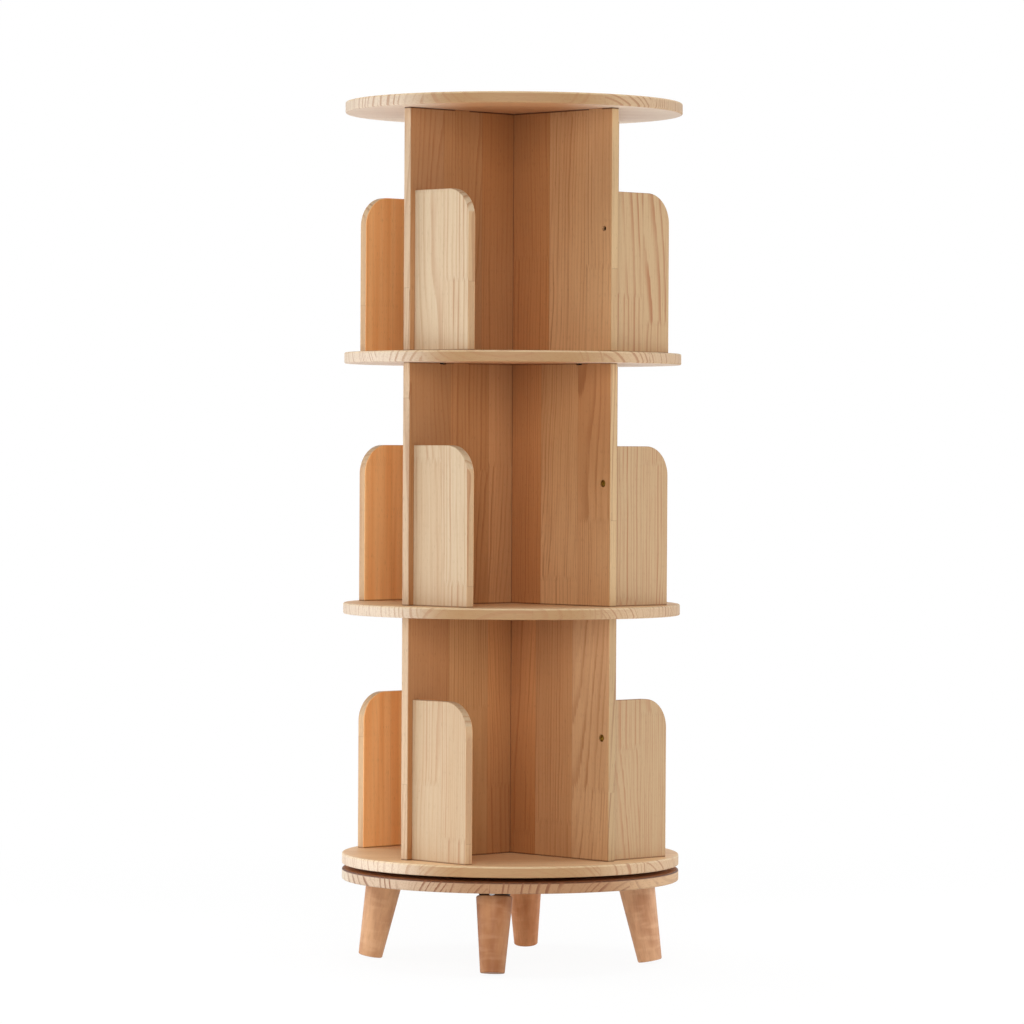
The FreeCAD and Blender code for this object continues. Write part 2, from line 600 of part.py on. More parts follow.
def leg(label, turn):
    """A turned, tapered leg along its own axis, drilled at the top for its hanger bolt."""
    body = new_body(label)
    section = new_sketch(body, "section", "XZ_Plane")
    bore = "(bolt_dia + screw_clear) / 2"
    depth = "-(bolt_in_leg + dowel_room)"
    add_outline(section, ((bore, "0"), (bore, depth), ("0", depth), ("0", "-leg_length"),
                          ("leg_foot_dia / 2 - leg_foot_ease", "-leg_length"),
                          ("leg_foot_dia / 2", "-leg_length + leg_foot_ease"),
                          ("leg_top_dia / 2", "-leg_top_ease"), ("leg_top_dia / 2 - leg_top_ease", "0")))
    revolve(body, section)
    place(body, value(LEG_SPOT), 0, base_under - value("leg_seat_drop"), turn, -value("leg_splay_angle"))


def tilted_circle(body, name, dia, level, rise="0"):
    """A circle on the leg's tilted seat, or above it by a rise along the leg's axis."""
    tilt = TURN(V(0, 1, 0), -value("leg_splay_angle"))
    sketch = new_sketch(body, name, "XY_Plane", turn=tilt)
    sketch.AttachmentOffset = FreeCAD.Placement(V(0, 0, value(level)) + tilt.multVec(UP) * value(rise), tilt)
    add_circle(sketch, "0", "0", dia)
    return sketch


def loft(body, kind, first, last):
    """A straight loft between two circles, added or cut."""
    feature = body.newObject(kind, f"{first.Name}_loft")
    feature.Profile = first
    feature.Sections = [last]
    feature.Ruled = True
    doc.recompute()
    return feature


def leg_plate(label, turn):
    """A pressed steel plate: a round flange under the base board and a hollow boss with a tilted seat."""
    body = new_body(label)
    flange = new_sketch(body, "flange", "XY_Plane", "-leg_plate_thick")
    add_circle(flange, "0", "0", "leg_plate_dia")
    pad(body, flange, "leg_plate_thick")
    root = new_sketch(body, "boss_root", "XY_Plane", "-leg_plate_thick / 2")
    add_circle(root, "0", "0", "leg_boss_root")
    seat = tilted_circle(body, "boss_seat", "leg_boss_seat", "-leg_seat_drop")
    loft(body, "PartDesign::AdditiveLoft", root, seat)
    hollow = new_sketch(body, "hollow_root", "XY_Plane")
    add_circle(hollow, "0", "0", "leg_boss_root - 2 * leg_plate_thick")
    floor = tilted_circle(body, "hollow_seat", "leg_boss_seat - 2 * leg_plate_thick", "-leg_seat_drop",
                          "leg_plate_thick")
    loft(body, "PartDesign::SubtractiveLoft", hollow, floor)
    bolt = tilted_circle(body, "bolt_hole", "bolt_dia + screw_clear", "-leg_seat_drop")
    pocket(body, bolt, "2 * leg_plate_thick", reverse=True)
    bore_ring(body, "screw_holes", "leg_screw_circle / 2", "0", PLATE_HOLE, "leg_plate_thick",
              lift="-leg_plate_thick")
    place(body, value(LEG_SPOT), 0, base_under, turn)


LEG_SCREW = headed_screw("plate_screw_dia", "leg_plate_thick + plate_screw_grip", "leg_screw_head",
                         "leg_screw_head_high")
for number in range(LEGS):
    angle = value("leg_turn_angle") + number * 360 / LEGS
    leg(f"leg_{number + 1}", angle)
    leg_plate(f"leg_plate_{number + 1}", angle)
    screws = turned_set(f"leg_plate_screws_{number + 1}", LEG_SCREW, "leg_screw_circle / 2", "0", 0)
    place(screws, value(LEG_SPOT), 0, base_under - value("leg_plate_thick"), angle)

bolts = new_body("leg_bolts")
bolt_section = new_sketch(bolts, "section", "XZ_Plane")
bolt_section.AttachmentOffset = FreeCAD.Placement(
    V(value(LEG_SPOT), -value("leg_seat_drop"), 0), TURN(UP, value("leg_splay_angle")))
bolt_half = "bolt_dia / 2"
add_outline(bolt_section, (("0", "-bolt_in_leg"), (f"{bolt_half} - bolt_bevel", "-bolt_in_leg"),
                           (bolt_half, "-bolt_in_leg + bolt_bevel"),
                           (bolt_half, "bolt_above_seat - bolt_bevel"),
                           (f"{bolt_half} - bolt_bevel", "bolt_above_seat"), ("0", "bolt_above_seat")))
ring_of(bolts, revolve(bolts, bolt_section), LEGS)
place(bolts, z=base_under, turn=value("leg_turn_angle"))

# Every object is checked before any file is written

doc.recompute()
for item in doc.Objects:
    if "Invalid" in item.State or "Error" in item.State:
        raise RuntimeError(f"{item.Label} failed: {item.State}")
for body in nodes:
    if body.Shape.isNull() or not body.Shape.isValid():
        raise RuntimeError(f"{body.Label} has no valid shape")
os.makedirs("parts", exist_ok=True)
for body in nodes:
    body.Shape.exportStep(f"parts/{body.Label}.step")
print(len(nodes), "nodes,", sum(len(body.Shape.Solids) for body in nodes), "solids, height",
      round(tier_floor[-1] + value("tier_height + disc_thick"), 2))
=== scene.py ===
import math

import bpy
import numpy as np
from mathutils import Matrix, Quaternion, Vector


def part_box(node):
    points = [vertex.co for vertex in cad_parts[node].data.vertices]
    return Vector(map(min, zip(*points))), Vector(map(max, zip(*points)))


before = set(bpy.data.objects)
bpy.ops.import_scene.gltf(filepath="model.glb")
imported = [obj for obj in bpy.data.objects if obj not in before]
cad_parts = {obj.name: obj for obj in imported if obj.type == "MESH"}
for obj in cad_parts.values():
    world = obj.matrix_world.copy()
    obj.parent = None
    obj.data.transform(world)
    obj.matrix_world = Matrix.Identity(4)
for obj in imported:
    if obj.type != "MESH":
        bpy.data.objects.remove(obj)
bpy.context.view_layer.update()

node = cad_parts


# Legs. Four tapered legs turned from solid wood with a soft, curly figure, each tilted outwards and
# cut square to its own axis, with a bevelled top edge. A hanger bolt in the top screws each one
# into its steel plate.

class Wire:
    """One socket of a material. Arithmetic with it adds Math nodes, and node() adds any other kind."""

    def __init__(self, socket):
        self.socket = socket

    def node(self, kind, inputs, output=0, **settings):
        """Adds a node to the same material: its settings first, then each input's value or link."""
        tree = self.socket.id_data
        made = tree.nodes.new("ShaderNode" + kind)
        for key, setting in settings.items():
            setattr(made, key, setting)
        for key, item in inputs.items():
            if isinstance(item, Wire):
                tree.links.new(item.socket, made.inputs[key])
            else:
                made.inputs[key].default_value = item
        return Wire(made.outputs[output])

    def other(self, output):
        """Another output of the node that this socket belongs to."""
        return Wire(self.socket.node.outputs[output])

    def math(self, operation, *rest):
        return self.node("Math", dict(enumerate((self, *rest))), operation=operation)

    def __add__(self, item):
        return self.math("ADD", item)

    def __sub__(self, item):
        return self.math("SUBTRACT", item)

    def __mul__(self, item):
        return self.math("MULTIPLY", item)

    def __truediv__(self, item):
        return self.math("DIVIDE", item)

    def __rsub__(self, item):
        return self.node("Math", {0: item, 1: self}, operation="SUBTRACT")

    def __rtruediv__(self, item):
        return self.node("Math", {0: item, 1: self}, operation="DIVIDE")

    __radd__ = __add__
    __rmul__ = __mul__

    def feed(self, shader, socket):
        """Links this socket to an input of a shader."""
        self.socket.id_data.links.new(self.socket, shader.inputs[socket])


def colour(red, green, blue):
    """A screen colour, 0 to 255, as the linear colour that a shader takes."""
    parts = [part / 255 for part in (red, green, blue)]
    return tuple(p / 12.92 if p <= 0.04045 else ((p + 0.055) / 1.055) ** 2.4 for p in parts) + (1.0,)


def new_finish(name, turn=0.0, shift=(0.0, 0.0, 0.0), tilt=0.0):
    """A material, its shader, and the x, y and z of the surface after a turn about Z, a shift and a tilt
    about Y."""
    material = bpy.data.materials.new(name)
    material.use_nodes = True
    tree = material.node_tree
    place = Wire(tree.nodes.new("ShaderNodeTexCoord").outputs["Object"])
    place = place.node("Mapping", {"Vector": place, "Location": shift, "Rotation": (0.0, 0.0, turn)})
    if tilt:
        place = place.node("Mapping", {"Vector": place, "Rotation": (0.0, tilt, 0.0)})
    x = place.node("SeparateXYZ", {0: place})
    return material, tree.nodes["Principled BSDF"], x, x.other(1), x.other(2)


def ramp(value, low, high):
    """0 below low, 1 above high and a smooth rise between them."""
    return value.node("MapRange", {0: value, 1: low, 2: high}, interpolation_type="SMOOTHSTEP")


def mixed(share, first, second):
    """The first colour where share is 0 and the second where it is 1."""
    return share.node("Mix", {0: share, 6: first, 7: second}, output=2, data_type="RGBA")


def cloud(x, y, z, detail=2.0):
    """Soft noise around 0.5 with cells as large as 1 in each of the three scaled coordinates."""
    spot = x.node("CombineXYZ", {0: x, 1: y, 2: z})
    return x.node("TexNoise", {"Vector": spot, "Scale": 1.0, "Detail": detail})


def lot(x, y, z):
    """Three random numbers, the same all over one unit cell of whole-number coordinates."""
    spot = x.node("CombineXYZ", {0: x, 1: y, 2: z})
    draw = x.node("SeparateColor", {0: x.node("TexWhiteNoise", {"Vector": spot}, output="Color")})
    return draw, draw.other(1), draw.other(2)


def figure(along, across, through, stave, length, ring, sweep, seed, storey=0.0):
    """Figure of glued pine. The board is cut into staves across its width and each stave into pieces
    along it that meet in a comb of fingers. In each piece the growth rings are circles about a pith
    line 60 to 130 mm away, in a direction within the sweep: 0 or 180 degrees is beside the piece, 90
    is below it. The pith leans a little along the grain. The rings vary in width and strength, so
    they show as stripes or pointed arches on a face and as slanting lines on end grain. Returns the
    piece's tone, the dark late wood of the rings, the fibre, the glue lines and the resin flecks,
    each from 0 to 1."""
    finger_pitch, finger_long = 0.0038, 0.009
    pith_near, pith_spread = 0.06, 0.07
    row = (across / stave).math("FLOOR")
    start, _, _ = lot(row, storey, seed)
    comb = (across / finger_pitch).math("PINGPONG", 0.5) * (2 * finger_long)
    spot = (along + comb) / length + start * 5
    piece = spot.math("FLOOR")
    tone, turn, lean = lot(row, piece + storey * 9, seed + 0.5)
    width, slope, _ = lot(row, piece + storey * 9, seed + 0.7)
    run = (spot - piece - 0.5) * length
    side = across - (row + 0.5) * stave
    first, last = (math.radians(angle) for angle in sweep)
    bearing = turn * (last - first) + first
    pith = lean * pith_spread + pith_near
    reach = side + bearing.math("COSINE") * pith
    depth = through + bearing.math("SINE") * pith + (slope - 0.5) * run * 0.18
    drift = cloud(along * 5, across * 14, through * 14)
    radius = (reach * reach + depth * depth).math("SQRT") + (drift - 0.5) * 0.010
    count = radius / (width * ring + ring * 0.6) + turn * 7
    count = count + cloud(count * 0.45, row, piece, 0.0) * 1.3
    year = count.math("FLOOR")
    strong, _, _ = lot(year, row, piece)
    phase = count - year
    fade = ramp(cloud(along * 9, year * 0.7, row + through * 40, 0.0), 0.3, 0.6) * 0.6 + 0.4
    late = ramp(phase, 0.45, 0.90) * (1 - ramp(phase, 0.93, 1.0)) * (strong * 0.8 + 0.2) * fade
    fibre = cloud(along * 14, across * 480, through * 480, 3.0)
    glue = 1 - ramp(stave / 2 - side.math("ABSOLUTE"), 0.0001, 0.0005)
    butt = 1 - ramp(length / 2 - run.math("ABSOLUTE"), 0.0002, 0.0008)
    fleck = ramp(cloud(along * 110, across * 1500, through * 1500, 0.0), 0.70, 0.80)
    band = ramp(cloud(along * 2, across * 45, through * 12), 0.3, 0.7)
    return tone * 0.5 + band * 0.5, late, fibre, glue.math("MAXIMUM", butt), fleck


def lacquer(shader, ground, grain, line, deep, line_share, seam_share):
    """Clear satin lacquer on wood: ring lines, streaks of fibre, resin flecks and glue lines over the
    ground colour, with the hard late wood standing up a little and shining a little more. In the
    upright crosses the glue lines also carry painted shade lines."""
    _, late, fibre, seam, fleck = grain
    ringed = mixed(late * line_share, ground, line)
    streaked = mixed(ramp(fibre, 0.45, 0.85) * (0.5 * line_share), ringed, line)
    flecked = mixed(fleck * 0.3, streaked, deep)
    mixed(seam * seam_share, flecked, deep).feed(shader, "Base Color")
    (0.58 - late * 0.08 - fibre * 0.08).feed(shader, "Roughness")
    height = late * 0.5 + fibre - seam * 0.8
    bump = height.node("Bump", {"Height": height, "Strength": 0.22, "Distance": 0.0004})
    bump.feed(shader, "Normal")
    shader.inputs["Specular IOR Level"].default_value = 0.3


LEG_TURN, LEG_SPLAY = 39.6, 10.5
BASE_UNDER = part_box("base_board")[0][2]
LEG_SEAT = (-0.174, 0.0, 0.008 - BASE_UNDER)
LEG_STREAK = colour(150, 98, 64)
# Each leg's tone is partly its own wood and partly painted light, set for how brightly that leg is lit.
LEG_TONES_AND_LIGHT = ((212, 148, 100), (219, 171, 129), (181, 128, 86), (220, 172, 132))
for number in range(4):
    leg_wood, shader, x, y, z = new_finish(
        f"leg_wood_{number + 1}", -math.radians(LEG_TURN + 90 * number), LEG_SEAT, math.radians(LEG_SPLAY))
    grain = figure(z, x, y, stave=0.16, length=0.9, ring=0.0075, sweep=(10, 170), seed=3.0 + number)
    patch = cloud(z * 16, x * 44, y * 44, 3.0)
    curl = cloud(z * 110, x * 30, y * 30)
    streak = cloud(z * 14, x * 300, y * 300, 3.0)
    red, green, blue = LEG_TONES_AND_LIGHT[number]
    light, dark = colour(red + 8, green + 12, blue + 14), colour(red - 28, green - 32, blue - 30)
    ground = mixed(ramp(patch, 0.32, 0.68), colour(red, green, blue), dark)
    ground = mixed(ramp(curl, 0.48, 0.72) * 0.4, ground, light)
    ground = mixed(ramp(streak, 0.48, 0.75) * 0.2, ground, LEG_STREAK)
    lacquer(shader, ground, grain, line=colour(166, 108, 68), deep=LEG_STREAK, line_share=0.22,
            seam_share=0.0)
    node[f"leg_{number + 1}"].data.materials[0] = leg_wood


# Leg plates, their screws and hanger bolts. Each plate is pressed from sheet steel with a tilted
# seat and painted black. Four zinc-plated screws hold it under the base board.

def metal(name, bright, dull, rough, spread, cell, metallic=1.0):
    """Plated, painted or plain steel: two shades in soft patches, with fine scratches in the gloss."""
    material, shader, x, y, z = new_finish(name)
    patch = cloud(x * cell, y * cell, z * cell, 4.0)
    scratch = cloud(x * 900, y * 140, z * 900, 2.0)
    mixed(ramp(patch, 0.35, 0.68), bright, dull).feed(shader, "Base Color")
    (patch * spread + scratch * 0.12 + (rough - 0.06 - spread / 2)).feed(shader, "Roughness")
    bump = patch.node("Bump", {"Height": scratch + patch, "Strength": 0.12, "Distance": 0.0002})
    bump.feed(shader, "Normal")
    shader.inputs["Metallic"].default_value = metallic
    return material


black_paint = metal("black_paint", colour(44, 41, 38), colour(33, 31, 29),
                    rough=0.5, spread=0.2, cell=260, metallic=0.0)
bright_zinc = metal("bright_zinc", colour(206, 207, 208), colour(176, 178, 182),
                    rough=0.34, spread=0.2, cell=420)
for number in range(4):
    node[f"leg_plate_{number + 1}"].data.materials[0] = black_paint
    node[f"leg_plate_screws_{number + 1}"].data.materials[0] = bright_zinc
node["leg_bolts"].data.materials[0] = bright_zinc


# Base board. A round board of pine staves glued edge to edge, sawn to a circle with a softly
# rounded rim. It lies on the legs with its grain running from front to back. Its top, seen only in
# the shadowed gap close under the turning shelf, is darker as painted shade, and a painted shadow
# line runs along the upper edge of its rim. Painted light makes the rim paler on its left side than
# on its right.

DISC_RADIUS, STAVE = 0.230, 0.056
RIM_DEPTH, GAP_SHADE_DEPTH = 0.0030, 0.0024
GLUE_BROWN = colour(120, 78, 48)


def rim_shares(x, y):
    """How far a spot lies on a round board's rim, and how far the rim there shows end grain: the
    grain runs along x, so that share follows the square of the cosine of the spot's bearing."""
    square = x * x + y * y
    rim = ramp(square.math("SQRT"), DISC_RADIUS - RIM_DEPTH, DISC_RADIUS - 0.0010)
    return rim, ramp(x * x / square, 0.08, 0.5)


base_pine, shader, x, y, z = new_finish("base_pine", math.radians(-32))
tone, late, *rest = figure(x, y + STAVE / 2, z - BASE_UNDER, stave=STAVE, length=0.40, ring=0.0092,
                           sweep=(-40, 60), seed=11.0)
rim, end = rim_shares(x, y)
under = mixed(tone, colour(222, 196, 168), colour(210, 180, 150))
BASE_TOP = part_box("base_board")[1][2]
# Painted shade: the top face, seen only in the shadowed gap under the turning shelf, darker and redder
# than the underside.
face = mixed(ramp(z, BASE_TOP - GAP_SHADE_DEPTH, BASE_TOP - 0.0016), under, colour(176, 112, 66))
# Painted light: the rim paler on its left side and darker on its right, as the side lamps light it.
long_edge = mixed(ramp(y, -0.12, 0.12), colour(206, 168, 128), colour(219, 204, 182))
end_edge = mixed(ramp(y, -0.03, 0.13), colour(172, 130, 94), colour(202, 177, 151))
edge = mixed(end, long_edge, end_edge)
# Painted shadow line along the rim's upper edge, close under the turning shelf.
edge = mixed(ramp(z, BASE_TOP - GAP_SHADE_DEPTH, BASE_TOP - 0.0014), edge, colour(84, 46, 24))
grain = (tone, ramp(late, 0.05, 0.6) * (rim * end * 0.8 + 0.2), *rest)
lacquer(shader, mixed(rim, face, edge), grain, line=colour(128, 78, 50), deep=GLUE_BROWN,
        line_share=0.82, seam_share=0.12)
node["base_board"].data.materials[0] = base_pine


# Turntable. Two square plates of zinc-plated sheet run on a ring of steel balls in pressed
# grooves. A retainer keeps the balls apart, and four screws hold each plate to its board.

plated_sheet = metal("plated_sheet", colour(172, 172, 176), colour(138, 139, 145),
                     rough=0.38, spread=0.25, cell=150)
plain_sheet = metal("plain_sheet", colour(150, 149, 147), colour(120, 119, 117),
                    rough=0.45, spread=0.2, cell=200)
polished_steel = metal("polished_steel", colour(214, 214, 216), colour(196, 196, 199),
                       rough=0.16, spread=0.06, cell=500)
for name in ("turntable_lower_plate", "turntable_upper_plate"):
    node[name].data.materials[0] = plated_sheet
for name in ("turntable_lower_screws", "turntable_upper_screws"):
    node[name].data.materials[0] = bright_zinc
node["ball_retainer"].data.materials[0] = plain_sheet
node["bearing_balls"].data.materials[0] = polished_steel


# Shelves and top board. Round boards like the base, their grain running from left to right as the
# bookcase stands in its rest position. Painted shade darkens the middle of each underside, a
# painted highlight runs along the top edge of each rim, and painted light makes the rims' left ends
# paler than their right ends.

TIER_PITCH = 0.341
SHELF_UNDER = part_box("bottom_shelf")[0][2]
shelf_pine, shader, x, y, z = new_finish("shelf_pine", math.radians(43.6))
storey = ((z - (SHELF_UNDER - 0.1)) / TIER_PITCH).math("FLOOR")
rise = z - SHELF_UNDER - storey * TIER_PITCH
tone, late, *rest = figure(x, y + STAVE / 2, rise, stave=STAVE, length=0.50, ring=0.0060,
                           sweep=(-35, 45), seed=21.0, storey=storey)
rim, end = rim_shares(x, y)
under = mixed(tone, colour(242, 225, 204), colour(234, 214, 191))
# Painted shade: each underside darker and browner in the middle than at its left and right ends, which the
# side lamps light.
under = mixed(ramp(x.math("ABSOLUTE"), 0.05, 0.15), colour(202, 150, 106), under)
upper = mixed(tone, colour(236, 201, 158), colour(216, 175, 128))
face = mixed(ramp(rise, 0.012, 0.014), under, upper)
right = ramp(x, -0.1, 0.1)
# Painted light: the end grain paler at the left end, which the stronger side lamp lights, and darker at
# the right.
end_edge = mixed(right, colour(222, 203, 180), colour(206, 175, 139))
edge = mixed(end, colour(176, 138, 96), end_edge)
# Painted highlight along the rounded top edge of each rim.
edge = mixed(ramp(rise, 0.0122, 0.0134) * 0.6, edge, colour(226, 202, 162))
grain = (tone, ramp(late, 0.05, 0.6) * (rim * end * (right * 0.2 + 0.3) + 0.4), *rest)
lacquer(shader, mixed(rim, face, edge), grain, line=colour(168, 116, 80), deep=GLUE_BROWN,
        line_share=0.85, seam_share=0.12)
for name in ("bottom_shelf", "middle_shelf", "upper_shelf", "top_board"):
    node[name].data.materials[0] = shelf_pine


# Upright crosses. In each tier two boards stand on edge, halved over each other at mid-length.
# They are finger-jointed pine panels with upright grain, screwed to the shelf below. Painted shade
# lines run down the corner between them and along feet and top edges, except beside the dowels.
# Painted shade also darkens the core staves towards the corner, and painted light changes the
# boards' colours from top to foot.

TIER_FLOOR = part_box("bottom_shelf")[1][2]
BOARD_STAVE, BOARD_HALF = 0.071, 0.006
LINE_FULL, LINE_END = 0.0012, 0.0022
DOWEL_SPANS = ((0.088, 0.116), (0.151, 0.178))
ARM_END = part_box("lower_cross_x")[1][0]
# For each board: the joint beside its core, the core's colours at the top and the foot, those of
# the next and the outer staves, and how far these staves pale towards the foot. These colours are
# partly the boards' own and partly painted light: each board's colours and their change from top to
# foot are set for how brightly its nook wall is lit there.
CROSSES = (
    ("lower_cross_x", 0.050, (199, 141, 89), (181, 126, 79), (194, 145, 96), (182, 130, 84), 0.0),
    ("lower_cross_y", 0.055, (200, 142, 92), (178, 121, 73), (188, 138, 93), (208, 166, 122), 0.14),
    ("middle_cross_x", 0.050, (194, 141, 94), (200, 147, 99), (188, 134, 86), (174, 125, 81), 0.0),
    ("middle_cross_y", 0.063, (190, 132, 83), (187, 128, 79), (200, 152, 104), (186, 133, 86), 0.45),
    ("upper_cross_x", 0.065, (171, 114, 67), (195, 140, 92), (176, 125, 80), (178, 130, 88), 0.22),
    ("upper_cross_y", 0.077, (178, 123, 76), (195, 136, 86), (198, 151, 105), (200, 155, 110), 0.5),
)
for number, (name, joint, core, core_foot, next_stave, outer, pale) in enumerate(CROSSES):
    along_x = number % 2 == 0
    board_pine, shader, x, y, z = new_finish(f"{name}_pine")
    across, through = (x, y) if along_x else (y, x)
    away = across.math("ABSOLUTE")
    arm = ramp(across, -0.001, 0.001)
    grain = figure(z, away - joint, through, stave=BOARD_STAVE, length=0.36, ring=0.0050,
                   sweep=(-10, 75), seed=31.0 + number, storey=arm)
    tone, late, fibre, seam, fleck = grain
    below_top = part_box(name)[1][2] - z
    near, far = DOWEL_SPANS[number % 2]
    # Painted shade lines: down the inner corner where the boards meet, under the disc above except beside
    # the dowels, and along the foot.
    corner_line = 1 - ramp(away, BOARD_HALF + 0.0002, BOARD_HALF + 0.0010)
    top_line = 1 - ramp(below_top, LINE_FULL, LINE_END)
    open_line = ramp(away, far - 0.002, far).math("MAXIMUM", 1 - ramp(away, near, near + 0.002))
    top_share = 0.85 if name.startswith("upper") else 0.35
    foot_line = 1 - ramp(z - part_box(name)[0][2], LINE_FULL, LINE_END)
    shade_lines = (top_line * open_line * top_share).math("MAXIMUM", corner_line * 0.55)
    shade_lines = shade_lines.math("MAXIMUM", foot_line * 0.6)
    staves = mixed(ramp(away - joint - BOARD_STAVE, -0.0004, 0.0004), colour(*next_stave), colour(*outer))
    staves = mixed(tone * 0.4, staves, colour(160, 106, 62))
    # Painted light: the core and the other staves change colour from top to foot as their nook wall is
    # lit.
    descent = ramp(below_top, 0.05, 0.30)
    staves = mixed(descent * pale, staves, colour(238, 192, 142))
    heart = mixed(descent, colour(*core), colour(*core_foot))
    # Painted shade: the core stave darkens towards the corner.
    heart = mixed((1 - ramp(away, BOARD_HALF, joint)) * 0.24, heart, colour(110, 62, 30))
    ground = mixed(ramp(away, joint - 0.0004, joint + 0.0004), heart, staves)
    end_edge = colour(206, 177, 145) if along_x else colour(206, 173, 129)
    ground = mixed(ramp(away, ARM_END - 0.0016, ARM_END - 0.0006), ground, end_edge)
    grain = (tone, late, fibre, (seam * 0.2).math("MAXIMUM", shade_lines), fleck)
    lacquer(shader, ground, grain, line=colour(146, 88, 46), deep=colour(70, 34, 16), line_share=0.6,
            seam_share=1.0)
    node[name].data.materials[0] = board_pine


# Book stops. Four short boards in each tier, each with one rounded top corner, stand square to the
# arms near their ends. They are glued pine with upright grain, the paler sapwood side outwards,
# screwed from the arm and from below. Painted shade makes them a little darker in the lower tiers
# and lays a dark line along each foot, and the orange heartwood of the inner faces is partly painted
# bounce light.

STOP_MIDDLE = 0.182
STOP_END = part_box("lower_stop_1")[1][1]
SAPWOOD = ((208, 178, 140), (210, 184, 148), (214, 192, 160), (200, 169, 128))
RING_SHARE = (0.75, 0.75, 0.65, 1.0)
for number in range(4):
    stop_pine, shader, x, y, z = new_finish(f"stop_pine_{number + 1}")
    across, through = (y, x) if number % 2 == 0 else (x, y)
    out = through.math("ABSOLUTE") - STOP_MIDDLE
    storey = ((z - TIER_FLOOR) / TIER_PITCH).math("FLOOR")
    grain = figure(z, across, out, stave=0.062, length=0.30, ring=0.0058, sweep=(-15, 65),
                   seed=41.0 + number, storey=storey)
    sapwood = mixed(grain[0] * 0.4, colour(*SAPWOOD[number]), colour(198, 160, 120))
    # Painted shade: the stops darker in the lower tiers.
    sapwood = mixed((2 - storey) * 0.17, sapwood, colour(170, 140, 105))
    edge = ramp(across.math("ABSOLUTE"), STOP_END - 0.0014, STOP_END - 0.0006)
    sapwood = mixed(edge, sapwood, colour(204, 169, 129))
    band = cloud(z * 2, across * 75, out * 4)
    # The inner faces' orange is partly heartwood and partly painted bounce light.
    heartwood_and_bounce = mixed(ramp(band, 0.35, 0.65), colour(254, 199, 135), colour(247, 182, 116))
    outwards = ramp(out, 0.0005 - BOARD_HALF, 0.0012 - BOARD_HALF)
    ground = mixed(outwards, heartwood_and_bounce, sapwood)
    foot = z - TIER_FLOOR - storey * TIER_PITCH
    # Painted shade line along the foot of each stop.
    ground = mixed((1 - ramp(foot, LINE_FULL, LINE_END)) * 0.6, ground, colour(92, 50, 24))
    lacquer(shader, ground, grain, line=colour(172, 120, 80), deep=GLUE_BROWN,
            line_share=outwards * RING_SHARE[number] + 0.1, seam_share=0.2)
    for tier in ("lower", "middle", "upper"):
        node[f"{tier}_stop_{number + 1}"].data.materials[0] = stop_pine


# Screws and dowels of the carousel. Yellow-passivated socket heads sit in counterbores in the arms,
# but the upper tier's heads are dark as painted shade of their deep counterbores. Low black heads lie
# under the shelves, and beech dowels join the arms to the disc above.

yellow_steel = metal("yellow_steel", colour(176, 152, 84), colour(130, 110, 56),
                     rough=0.36, spread=0.2, cell=400)
# The upper tier's stop screws are dark as painted shade of their deep counterbores.
hole_shade_steel = metal("hole_shade_steel", colour(84, 62, 40), colour(56, 40, 26),
                      rough=0.4, spread=0.15, cell=400)
black_steel = metal("black_steel", colour(52, 47, 42), colour(34, 31, 28),
                    rough=0.42, spread=0.15, cell=400, metallic=0.6)
beech, shader, x, y, z = new_finish("dowel_beech")
fleck = cloud(x * 900, y * 900, z * 60)
mixed(ramp(fleck, 0.4, 0.7), colour(214, 178, 140), colour(184, 140, 100)).feed(shader, "Base Color")
(fleck * 0.2 + 0.5).feed(shader, "Roughness")
for tier in ("lower", "middle", "upper"):
    node[f"{tier}_stop_screws"].data.materials[0] = hole_shade_steel if tier == "upper" else yellow_steel
    node[f"{tier}_foot_screws"].data.materials[0] = black_steel
    node[f"{tier}_cross_screws"].data.materials[0] = black_steel
    node[f"{tier}_dowels"].data.materials[0] = beech


# Studio. A plain white floor that fades into a white surround, soft lights at both sides, in front
# and above, low ones and washes of light on the floor that reach the undersides, and a long lens
# at the middle tier's height.

CAMERA_BEARING = math.radians(226.396)
towards = Vector((math.cos(CAMERA_BEARING), math.sin(CAMERA_BEARING), 0.0))
leftwards = Vector((towards.y, -towards.x, 0.0))

FLOOR_HALF, FLOOR_LEVEL = 12.0, -0.0005
ends = np.array([-FLOOR_HALF, FLOOR_HALF])
grid_x, grid_y = np.meshgrid(ends, ends)
points = np.stack([grid_x.ravel(), grid_y.ravel(), np.full(4, FLOOR_LEVEL)], axis=1)
floor_mesh = bpy.data.meshes.new("floor")
floor_mesh.from_pydata(points.tolist(), [], [(0, 1, 3, 2)])
floor = bpy.data.objects.new("floor", floor_mesh)
bpy.context.scene.collection.objects.link(floor)


def background_rays(tree):
    """1 for the rays that show the background: the camera's, and those of gloss and of glass."""
    rays = Wire(tree.nodes.new("ShaderNodeLightPath").outputs["Is Camera Ray"])
    gloss, glass = rays.other("Is Glossy Ray"), rays.other("Is Transmission Ray")
    return rays.math("MAXIMUM", gloss).math("MAXIMUM", glass)


pale_floor = bpy.data.materials.new("pale_floor")
pale_floor.use_nodes = True
tree = pale_floor.node_tree
shader = tree.nodes["Principled BSDF"]
shader.inputs["Base Color"].default_value = (0.93, 0.93, 0.93, 1.0)
shader.inputs["Roughness"].default_value = 0.9
seen = background_rays(tree)
glow = seen.node("Emission", {"Color": (1.0, 1.0, 1.0, 1.0), "Strength": 1.0})
away = Wire(tree.nodes.new("ShaderNodeTexCoord").outputs["Object"])
away = away.node("VectorMath", {0: away}, output="Value", operation="LENGTH")
share = seen * (ramp(away, 0.5, 2.0) * 0.07 + 0.93)
blend = seen.node("MixShader", {0: share, 1: Wire(shader.outputs[0]), 2: glow})
blend.feed(tree.nodes["Material Output"], "Surface")
floor_mesh.materials.append(pale_floor)

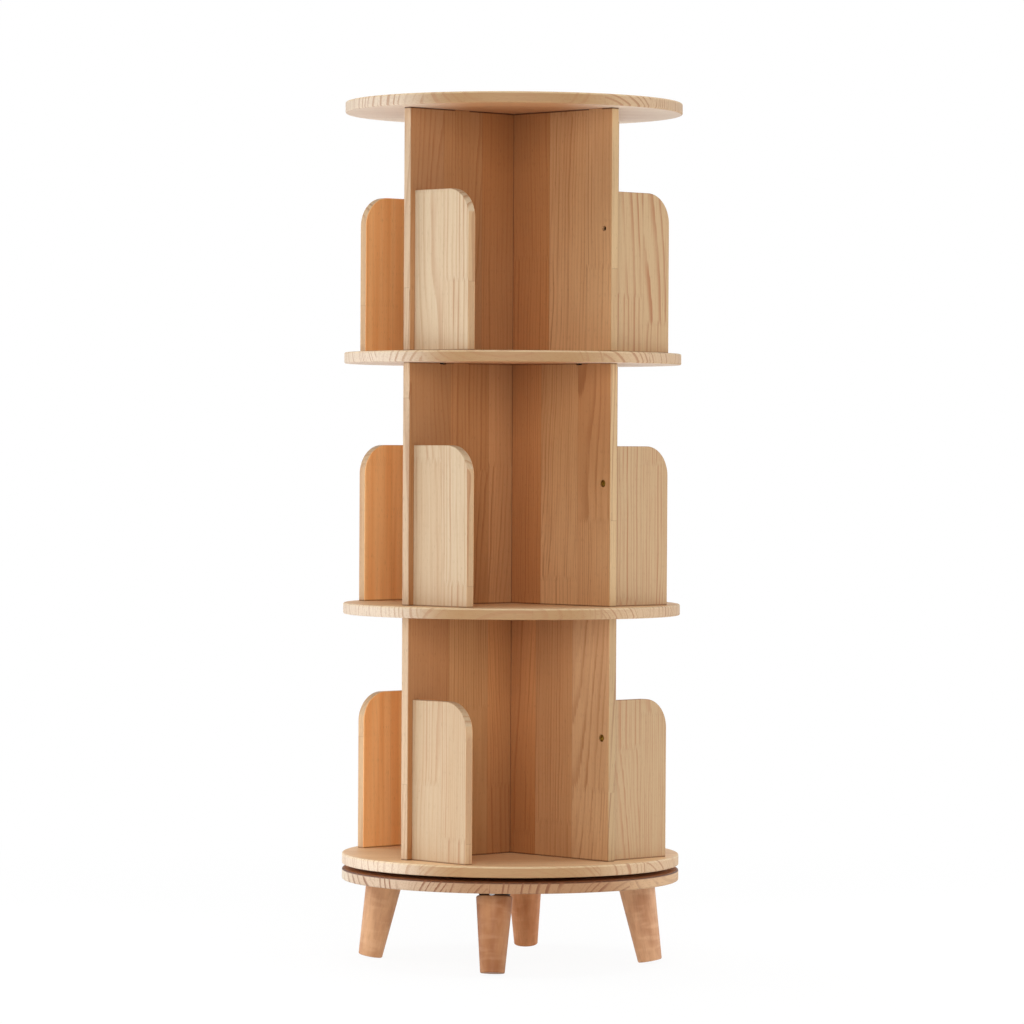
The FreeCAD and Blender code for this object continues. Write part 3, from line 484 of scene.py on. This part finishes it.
world = bpy.data.worlds.new("studio")
world.use_nodes = True
bpy.context.scene.world = world
tree = world.node_tree
seen = background_rays(tree)
background = tree.nodes["Background"]
background.inputs["Color"].default_value = (1.0, 1.0, 1.0, 1.0)
AMBIENT = 0.26
(seen * (1.0 - AMBIENT) + AMBIENT).feed(background, "Strength")


def softbox(name, place, aim, width, height, power):
    """A soft rectangular light at a place, facing a point."""
    lamp = bpy.data.lights.new(name, "AREA")
    lamp.shape = "RECTANGLE"
    lamp.size, lamp.size_y = width, height
    lamp.energy = power
    item = bpy.data.objects.new(name, lamp)
    item.location = place
    item.rotation_mode = "QUATERNION"
    item.rotation_quaternion = (Vector(aim) - Vector(place)).to_track_quat("-Z", "Y")
    item.visible_camera = False
    bpy.context.scene.collection.objects.link(item)


MIDDLE = Vector((0.0, 0.0, 0.6))


def round_about(degrees, distance, height):
    """A place round the object: degrees to the left of the camera, a distance out, a height up."""
    turn = math.radians(degrees)
    return (towards * math.cos(turn) + leftwards * math.sin(turn)) * distance + Vector((0.0, 0.0, height))


softbox("left_light", round_about(112, 2.8, 1.15), MIDDLE, width=1.2, height=2.1, power=22)
softbox("right_light", round_about(-112, 2.8, 1.15), MIDDLE, width=1.2, height=2.1, power=13)
softbox("front_fill", round_about(2, 3.5, 1.5), MIDDLE, width=1.8, height=1.8, power=55)
softbox("top_light", Vector((0.0, 0.0, 4.2)), MIDDLE, width=2.4, height=2.4, power=80)
softbox("left_kicker", round_about(84, 1.7, 0.5), (0.0, 0.0, 0.9), width=1.2, height=0.9, power=5)
softbox("right_kicker", round_about(-84, 1.7, 0.5), (0.0, 0.0, 0.9), width=1.2, height=0.9, power=4)
for name, side in (("left_wash", 90), ("right_wash", -90)):
    softbox(name, round_about(side, 1.6, 0.45), round_about(side, 1.6, 0.0),
            width=1.6, height=2.6, power=8)

CAMERA_DISTANCE, CAMERA_RISE, LENS = 6.5257, 0.5553, 167.9
CAMERA_PITCH, CAMERA_ROLL = math.radians(0.79), math.radians(0.305)
camera = bpy.data.objects.new("camera", bpy.data.cameras.new("camera"))
camera.data.lens, camera.data.sensor_width = LENS, 36.0
camera.location = towards * CAMERA_DISTANCE + Vector((0.0, 0.0, TIER_FLOOR + CAMERA_RISE))
gaze = -towards * math.cos(CAMERA_PITCH) - Vector((0.0, 0.0, math.sin(CAMERA_PITCH)))
camera.rotation_mode = "QUATERNION"
camera.rotation_quaternion = gaze.to_track_quat("-Z", "Y") @ Quaternion((0.0, 0.0, 1.0), CAMERA_ROLL)
bpy.context.scene.collection.objects.link(camera)
bpy.context.scene.camera = camera
bpy.context.scene.view_settings.view_transform = "Standard"
